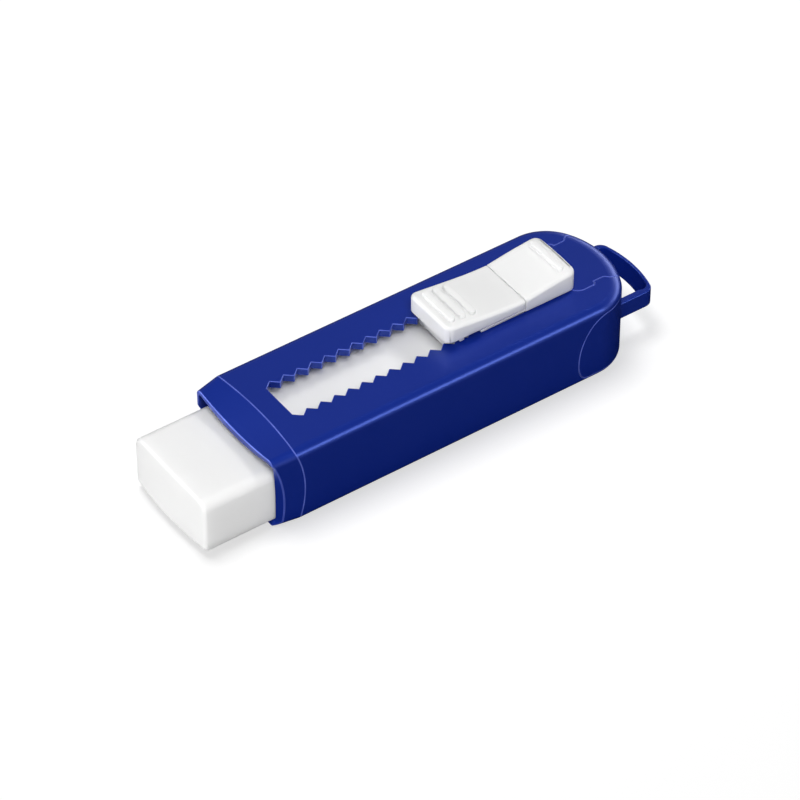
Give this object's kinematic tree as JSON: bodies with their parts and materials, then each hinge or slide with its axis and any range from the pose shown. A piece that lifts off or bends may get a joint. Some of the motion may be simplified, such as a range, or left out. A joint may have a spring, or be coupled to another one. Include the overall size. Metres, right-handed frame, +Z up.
{
  "type": "eraser with sliding sleeve",
  "caption": "White block eraser in a blue plastic sleeve; a ribbed thumb slider latches along a notched slot to feed it out, and a loop at the rear lets it hang.",
  "frame": {"origin": "middle of the sleeve's flat bottom, on the face it rests on", "axes": "+X along the sleeve towards the hanging loop, so the eraser's tip points to -X; +Z up, out of the face with the slot and slider; +Y across"},
  "size_m": [0.104, 0.026, 0.0218],
  "materials": {
    "blue_plastic": "satin moulded",
    "white_plastic": "satin moulded",
    "eraser_white": "matte"
  },
  "bodies": {
    "housing": {"sleeve": "blue_plastic", "rear_cap": "blue_plastic"},
    "carriage": {"slider": "white_plastic", "eraser_holder": "white_plastic"},
    "button": {"thumb_button": "white_plastic", "latch_spring": "white_plastic"},
    "eraser": {"eraser_block": "eraser_white"}
  },
  "joints": [
    {"name": "eraser_slide", "type": "slide", "parent": "housing", "child": "carriage", "axis": [-1, 0, 0], "range_m": [-0.009, 0.033], "deforming": ["latch_spring"]},
    {"name": "button_press", "type": "hinge", "parent": "carriage", "child": "button", "pos_m": [0.018, 0, 0.0176], "axis": [0, -1, 0], "range_deg": [0, 1.5], "stiffness_Nm_per_rad": 0.6, "deforming": ["latch_spring"]},
    {"name": "eraser_refill", "type": "slide", "parent": "carriage", "child": "eraser", "axis": [-1, 0, 0], "range_m": [0, 0.06]}
  ]
}
